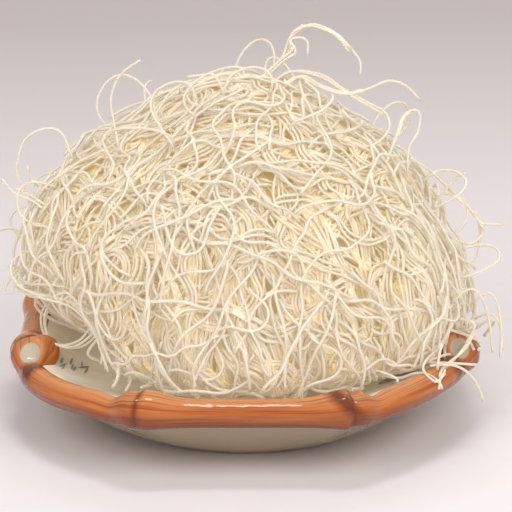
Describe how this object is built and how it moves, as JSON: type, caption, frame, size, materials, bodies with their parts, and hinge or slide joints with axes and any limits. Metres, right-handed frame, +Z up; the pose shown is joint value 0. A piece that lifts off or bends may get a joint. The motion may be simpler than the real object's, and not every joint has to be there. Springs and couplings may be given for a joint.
{
  "type": "heap of dried rice vermicelli in a dish",
  "caption": "Loose, tangled heap of fine dried rice vermicelli, piled above the rim of a shallow glazed dish with a cane-shaped edge.",
  "frame": {"origin": "on the table, under the middle of the dish", "axes": "+Z up, -Y to the front, +X to the right as seen from the front"},
  "size_m": [0.176, 0.1636, 0.1314],
  "materials": {
    "glazed_stoneware": "clear glossy glaze: cream inside and under the bowl, streaked red-brown on the cane-shaped rim",
    "dried_rice_noodle": "creamy white, slightly see-through, satin"
  },
  "bodies": {
    "root": {"dish": "glazed_stoneware", "vermicelli": "dried_rice_noodle"}
  },
  "joints": []
}
